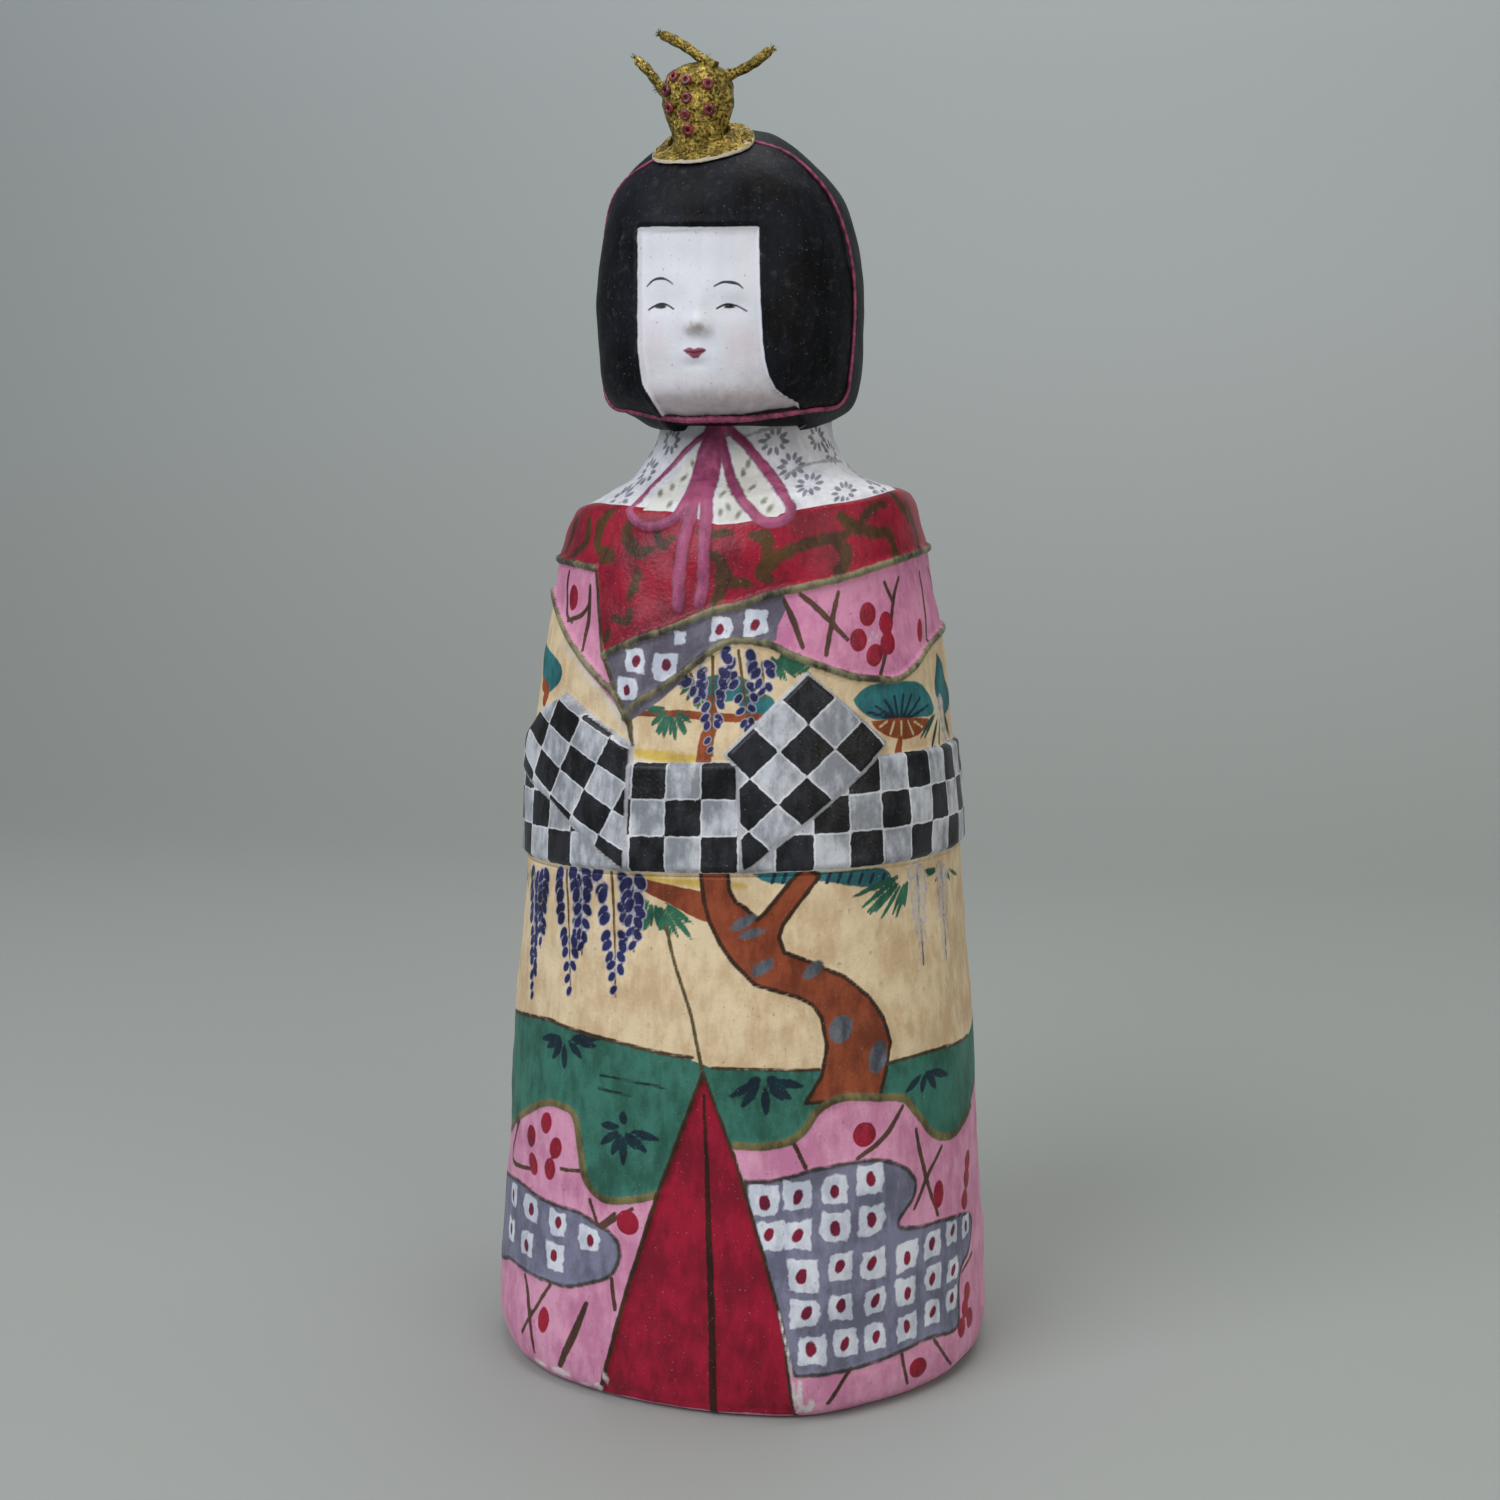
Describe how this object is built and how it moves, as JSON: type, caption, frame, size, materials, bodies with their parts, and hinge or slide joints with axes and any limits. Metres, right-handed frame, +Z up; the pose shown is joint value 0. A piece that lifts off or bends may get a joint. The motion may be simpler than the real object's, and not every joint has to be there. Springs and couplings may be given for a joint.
{
  "type": "papier-mache figure",
  "caption": "Standing court lady of moulded and painted papier-mache in a long robe, with a gilt crown; rests on its flat underside as an ornament.",
  "frame": {"origin": "on the ground, on the axis of the robe, in the flat underside", "axes": "+Z up, the face looks towards -Y, +X is the figure's left hand"},
  "size_m": [0.1028, 0.0919, 0.2623],
  "materials": {
    "painted_papier_mache": "painted by hand over a white ground, satin to matte",
    "gilt_paper": "gold paint over paper",
    "gilt_paper_cord": "gold paint over twisted paper",
    "rose_glass": "small glossy ring beads"
  },
  "bodies": {
    "root": {"figure": "painted_papier_mache", "crown": "gilt_paper", "prong_left": "gilt_paper_cord", "prong_middle": "gilt_paper_cord", "prong_right": "gilt_paper_cord", "bead_1": "rose_glass", "bead_2": "rose_glass", "bead_3": "rose_glass", "bead_4": "rose_glass", "bead_5": "rose_glass", "bead_6": "rose_glass", "bead_7": "rose_glass", "bead_8": "rose_glass", "bead_9": "rose_glass"}
  },
  "joints": []
}
